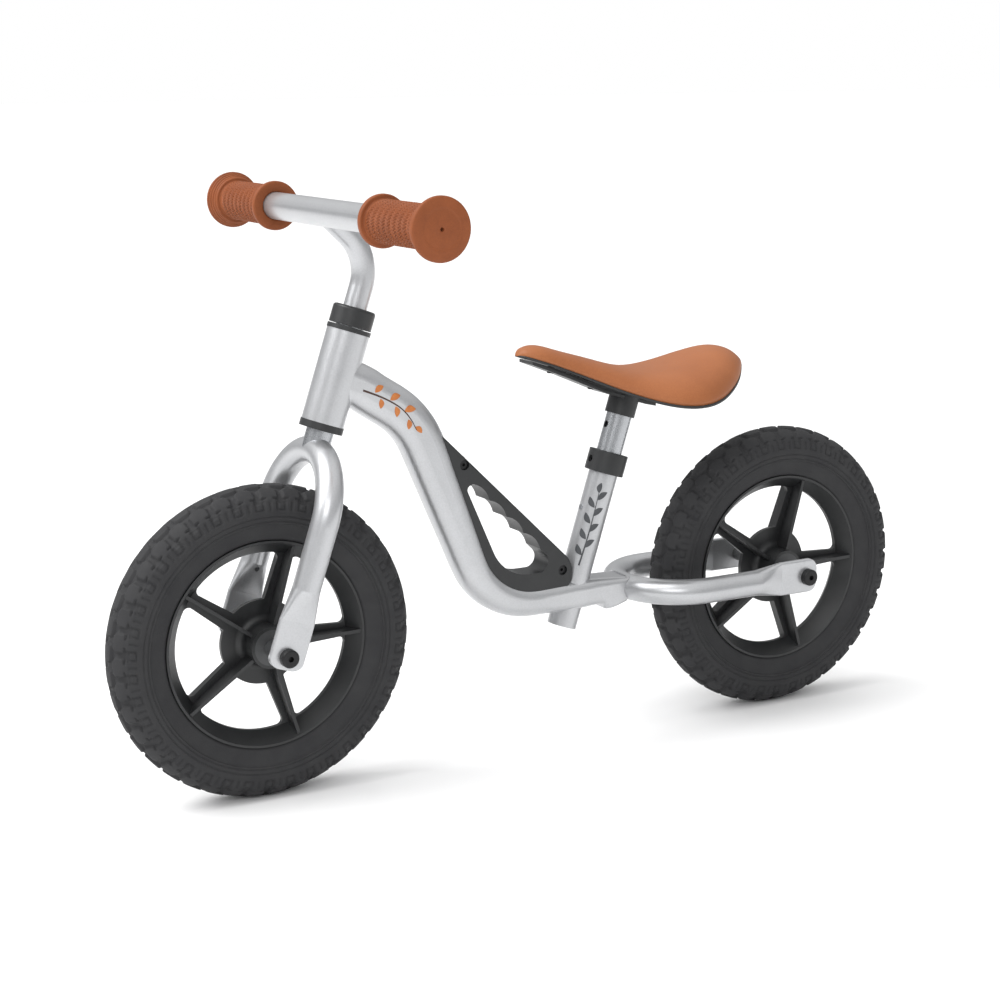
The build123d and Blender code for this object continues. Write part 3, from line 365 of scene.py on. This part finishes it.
def makeGrip(name, side, spec):
    # the half section turned about the bar; on the body the radius gains a herringbone:
    # cos(ridges * angle + swing), where swing goes up and down with the distance along the grip
    line = gripOutline(spec)
    along, radius = line[:, 0][None, :], line[:, 1][None, :]
    angle = (np.arange(spec["around"]) * 2 * math.pi / spec["around"])[:, None]
    start = spec["inner"] + spec["innerThick"] + spec["plainEnd"]
    end = spec["outer"] - spec["outerThick"] - spec["plainEnd"]
    onBody = softStep(along - start, spec["ridgeEnd"]) * softStep(end - along, spec["ridgeEnd"])
    onBody *= np.abs(radius - spec["body"]) < 0.01
    phase = (along - start) / spec["column"]
    swing = np.abs(phase % 2 - 1) * 2 * math.pi * spec["slant"]
    sink, width = spec["seam"]
    seam = 1 - sink * np.exp(-((phase - np.round(phase)) / width) ** 2)
    ridge = np.clip(0.5 + spec["ridgeFlat"] * np.cos(spec["ridges"] * angle + swing), 0, 1) * seam
    grown = radius + onBody * spec["ridgeHeight"] * (ridge - spec["ridgeMiddle"])
    points = np.stack([grown * np.cos(angle), side * along + 0 * angle, grown * np.sin(angle)], -1)
    points += np.array([barMiddle[0], 0, barMiddle[2]])
    return makePiece(name, points, gridFaces(*points.shape[:2], True, False),
                     finishes["grip_rubber"], "steering")


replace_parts(makeGrip("leftGripRibbed", 1, grip), "grip_left")
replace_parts(makeGrip("rightGripRibbed", -1, grip), "grip_right")
print("grips made")


saddle = {
    # distance along the bike, half width, rim, middle of the underside, middle of the top
    "stations": [
        (-204.5, 12.0, 315.5, 317.0, 321.5), (-192.0, 28.0, 308.0, 311.0, 330.0),
        (-170.0, 46.0, 297.0, 303.0, 331.0), (-142.0, 58.5, 290.0, 299.0, 324.0),
        (-112.0, 56.0, 290.5, 299.0, 320.0), (-82.0, 42.0, 298.5, 303.0, 322.5),
        (-50.0, 27.5, 311.5, 313.0, 331.5), (-18.0, 17.5, 325.0, 326.5, 341.0),
        (4.0, 12.5, 333.0, 334.0, 345.0), (14.5, 6.0, 336.6, 337.2, 341.8)],
    "rows": 120, "across": 40,
    "tailEnd": -206.0, "noseEnd": 15.5, "tailRound": 5.0, "noseRound": 6.0,
    "shell": 2.2,           # thickness of the black base under the pad
    "lip": 0.5,             # how far the base stands out past the pad
    "fullness": 2.25,       # exponent of the pad's section, 2 for an ellipse
}


def saddleSurfaces(spec):
    # stations joined by splines; both ends close as a quarter ellipse, sqrt(1 - t^2)
    stations = np.array(spec["stations"])
    turn = np.linspace(0, math.pi, spec["rows"])
    even = (1 - np.cos(turn)) / 2
    x = spec["tailEnd"] + (spec["noseEnd"] - spec["tailEnd"]) * even
    held = np.clip(x, stations[0, 0], stations[-1, 0])
    half, rim, under, top = smoothCurve(stations[:, 0], stations[:, 1:], held).T
    fromTail = np.clip(1 - (x - spec["tailEnd"]) / spec["tailRound"], 0, 1)
    fromNose = np.clip(1 - (spec["noseEnd"] - x) / spec["noseRound"], 0, 1)
    close = np.sqrt(np.clip(1 - fromTail ** 2, 0, 1)) * np.sqrt(np.clip(1 - fromNose ** 2, 0, 1))
    return [values[:, None] for values in (x, half * close, rim, under, top, close)]


def makeSaddlePart(name, finish, pad, spec):
    # each section is a loop: over the top as |w|^p + |z|^p = 1, and back along the curved underside
    x, half, rim, under, top, close = saddleSurfaces(spec)
    w = np.cos(np.linspace(0, math.pi, spec["across"]))[None, :]
    low = rim + (under - rim) * (1 - w ** 2)
    if pad:
        bottom = low + spec["shell"] * close
        rise = np.clip(1 - np.abs(w) ** spec["fullness"], 0, 1) ** (1 / spec["fullness"])
        upper = rim + spec["shell"] * close + (top - rim - spec["shell"]) * rise * close
        reach = half
    else:
        bottom, upper = low, low + spec["shell"] * close
        reach = half + spec["lip"] * close
    y = reach * w
    over = np.stack([x + 0 * y, y, upper + 0 * y], -1)
    back = np.stack([x + 0 * y, y, bottom + 0 * y], -1)[:, ::-1]
    points = np.concatenate([over, back], axis=1)
    return makePiece(name, points, gridFaces(*points.shape[:2], False, True), finish, "seat")


saddlePad = makeSaddlePart("saddlePad", finishes["saddle_skin"], True, saddle)
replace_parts(saddlePad, "saddle_cover")
saddleShell = makeSaddlePart("saddleShell", finishes["dark_plastic"], False, saddle)
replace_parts(saddleShell, "saddle_base")
print("saddle made")


# the printed sprigs lie on the beam's left side and on the left front of the seat tube
beamFace = {"start": (178.494, 335.226), "drop": 32.5, "run": 53.7, "radius": 76.0,
            "halfWidth": 15.5, "corner": 13.2, "halfFlat": 5.0, "cornerShare": 0.95, "lift": 0.10}
tubeFace = {"foot": (-36.6, 127.0), "angle": 72.05, "radius": 12.7, "turn": 28.0, "lift": 0.10}
leaf = {"rows": 14, "columns": 7, "fullness": 0.8, "tip": 0.004, "curve": 0.10}
twig = {"rows": 40, "taper": 0.65}
sheetThickness = 0.08


def onBeam(spec, along, across):
    # along runs down the beam's centre line, straight and then on an arc; across is up from it; the
    # beam's side is flat in the middle and rounds off as a circle of the corner's radius
    drop = math.radians(spec["drop"])
    bend = np.maximum(along - spec["run"], 0) / spec["radius"]
    straight = np.minimum(along, spec["run"])
    startX, startZ = spec["start"]
    radius = spec["radius"]
    x = startX - straight * math.cos(drop) - radius * (np.sin(drop + bend) - math.sin(drop))
    z = startZ - straight * math.sin(drop) - radius * (math.cos(drop) - np.cos(drop + bend))
    x, z = x - across * np.sin(drop + bend), z + across * np.cos(drop + bend)
    over = np.clip(np.abs(across) - spec["halfFlat"], 0, spec["corner"] * spec["cornerShare"])
    y = spec["halfWidth"] - spec["corner"] + np.sqrt(spec["corner"] ** 2 - over ** 2) + spec["lift"]
    return np.stack([x, y, z], -1)


def onTube(spec, along, across):
    # along runs up the seat tube from axle height; across wraps round it from its left front
    lean = math.radians(spec["angle"])
    around = math.radians(spec["turn"]) + across / spec["radius"]
    reach = spec["radius"] + spec["lift"]
    forward, left = reach * np.sin(around), reach * np.cos(around)
    x = spec["foot"][0] - along * math.cos(lean) + forward * math.sin(lean)
    z = spec["foot"][1] + along * math.sin(lean) + forward * math.cos(lean)
    return np.stack([x, left, z], -1)


def leafGrid(root, length, width, turn, spec=leaf):
    # a pointed oval: half width sin(pi t)^fullness of its greatest, on a rib curved as 4t(1 - t)
    t = np.linspace(0, 1, spec["rows"])[:, None]
    w = np.linspace(-1, 1, spec["columns"])[None, :]
    along = length * t + 0 * w
    oval = np.sin(math.pi * np.clip(t, spec["tip"], 1 - spec["tip"])) ** spec["fullness"]
    across = width / 2 * oval * w + spec["curve"] * length * (t * (1 - t) * 4)
    a = math.radians(turn)
    return (root[0] + along * math.cos(a) - across * math.sin(a),
            root[1] + along * math.sin(a) + across * math.cos(a))


def stemGrid(points, width, spec=twig):
    # a stroke along a spline through a few points, tapering to its tip
    points = np.array(points, float)
    knots = np.append(0, np.cumsum(np.hypot(*np.diff(points, axis=0).T)))
    where = np.linspace(0, knots[-1], spec["rows"])
    line = smoothCurve(knots, points, where)
    slope = np.gradient(line, where, axis=0)
    w = np.linspace(-0.5, 0.5, 3)[None, :] * (width * (1 - spec["taper"] * where / knots[-1]))[:, None]
    return line[:, :1] - slope[:, 1:] * w, line[:, 1:] + slope[:, :1] * w


def makePrint(name, face, spec, patches, ink, body):
    # joins the patches into one thin sheet that lies on the tube, then gives it thickness
    points, faces, count = [], [], 0
    for along, across in patches:
        grid = face(spec, along, across)
        faces.append(gridFaces(*grid.shape[:2]) + count)
        points.append(grid.reshape(-1, 3))
        count += grid.shape[0] * grid.shape[1]
    piece = makePiece(name, np.concatenate(points), np.concatenate(faces), ink, body)
    thick = piece.modifiers.new("thickness", "SOLIDIFY")
    thick.thickness = sheetThickness * mm
    thick.offset = 0
    return piece


# each leaf: along, across, length, width, turn in degrees
beamLeaves = [
    (30, 1.5, 9, 5.2, 62), (37, -0.5, 8, 4.6, -58), (45, 2.5, 10, 5.6, 50), (52, 0.5, 9, 5.0, -50),
    (61, 1.0, 10, 5.6, 48), (68, -2.0, 8.5, 4.8, -42), (77, -2.5, 8.5, 4.6, 12)]
makePrint("beamSprigTwig", onBeam, beamFace,
          [stemGrid([(20, -2), (38, 1), (56, 1.5), (80, -3)], 1.7)], inks["twig"], "frame")
makePrint("beamSprigLeaves", onBeam, beamFace,
          [leafGrid((a, b), length, width, turn) for a, b, length, width, turn in beamLeaves],
          inks["leaf"], "frame")
tubeLeaves = [(36 + 7 * k, (-1) ** k * 0.6, 10.5, 4.8, (-1) ** k * 38) for k in range(8)]
makePrint("tubeSprig", onTube, tubeFace,
          [stemGrid([(27, 0.5), (55, -0.5), (92, 0.3)], 1.5)]
          + [leafGrid((a, b), length, width, turn) for a, b, length, width, turn in tubeLeaves]
          + [leafGrid((91, 0.2), 9, 4.4, 0)], inks["grey"], "frame")
print("sprigs made")


def makeStage():
    # a wide pale floor
    size = 30.0
    mesh = bpy.data.meshes.new("floor")
    corners = [(-size, -size, 0), (size, -size, 0), (size, size, 0), (-size, size, 0)]
    mesh.from_pydata(corners, [], [(0, 1, 2, 3)])
    floor = bpy.data.objects.new("floor", mesh)
    bpy.context.scene.collection.objects.link(floor)
    paper = bpy.data.materials.new("paperSweep")
    paper.use_nodes = True
    shader = paper.node_tree.nodes["Principled BSDF"]
    shader.inputs["Base Color"].default_value = linearColour("F7F7F7")
    shader.inputs["Roughness"].default_value = 0.9
    shader.inputs["Specular IOR Level"].default_value = 0.1
    mesh.materials.append(paper)


def aimed(direction):
    # rotation of a light or camera whose back points along direction
    return Vector(direction).to_track_quat("Z", "Y").to_euler()


def addSun(name, direction, strength, angle):
    data = bpy.data.lights.new(name, "SUN")
    data.energy = strength
    data.angle = math.radians(angle)
    light = bpy.data.objects.new(name, data)
    light.rotation_euler = aimed(direction)
    bpy.context.scene.collection.objects.link(light)


def addPanel(name, place, size, power):
    data = bpy.data.lights.new(name, "AREA")
    data.shape = "RECTANGLE"
    data.size, data.size_y = size
    data.energy = power
    light = bpy.data.objects.new(name, data)
    light.location = place
    light.rotation_euler = aimed(Vector(place) - Vector((0, 0, 0.22)))
    bpy.context.scene.collection.objects.link(light)


def makeWorld():
    # soft studio: brighter overhead than at the sides, and plain white behind the object
    world = bpy.data.worlds.new("studio")
    world.use_nodes = True
    bpy.context.scene.world = world
    tree = world.node_tree
    up = addNode(tree, "SeparateXYZ", {0: addNode(tree, "TexCoord").outputs["Generated"]}).outputs["Z"]
    share = addNode(tree, "MapRange", {"Value": up, "From Min": 0.0, "From Max": 0.8})
    sky = addNode(tree, "Mix", {0: share.outputs["Result"], 6: linearColour("8C8D8F"),
                                7: linearColour("FFFFFF")}, data_type="RGBA")
    seen = addNode(tree, "LightPath").outputs["Is Camera Ray"]
    colour = addNode(tree, "Mix", {0: seen, 6: sky.outputs[2], 7: (1, 1, 1, 1)}, data_type="RGBA")
    tree.links.new(colour.outputs[2], tree.nodes["Background"].inputs["Color"])
    tree.nodes["Background"].inputs["Strength"].default_value = 1.0


view = {"azimuth": 150.927, "elevation": 12.083, "roll": -0.38, "place": (0.841, 1.456, 0.574),
        "lens": 73.45, "sensor": 36.0}


def makeCamera(spec):
    # looks along the azimuth and elevation, then rolls about its own line of sight
    a, e = math.radians(spec["azimuth"]), math.radians(spec["elevation"])
    back = Vector((math.sin(a) * math.cos(e), -math.cos(a) * math.cos(e), math.sin(e)))
    right = Vector((math.cos(a), math.sin(a), 0))
    up = back.cross(right)
    r = math.radians(spec["roll"])
    turned = math.cos(r) * right + math.sin(r) * up
    upright = -math.sin(r) * right + math.cos(r) * up
    data = bpy.data.cameras.new("camera")
    data.lens, data.sensor_width = spec["lens"], spec["sensor"]
    data.clip_start, data.clip_end = 0.05, 200
    camera = bpy.data.objects.new("camera", data)
    aim = Matrix((turned, upright, back)).transposed().to_4x4()
    camera.matrix_world = Matrix.Translation(spec["place"]) @ aim
    bpy.context.scene.collection.objects.link(camera)
    bpy.context.scene.camera = camera


makeStage()
makeWorld()
addSun("keySun", (0.82, -0.07, 1.5), 1.5, 50)
addPanel("leftPanel", (1.5, -0.4, 1.6), (1.2, 1.2), 18)
addPanel("frontPanel", (1.3, 1.9, 1.5), (1.6, 0.8), 14)
makeCamera(view)
bpy.context.scene.view_settings.view_transform = "Standard"
print("stage, lights and camera set")
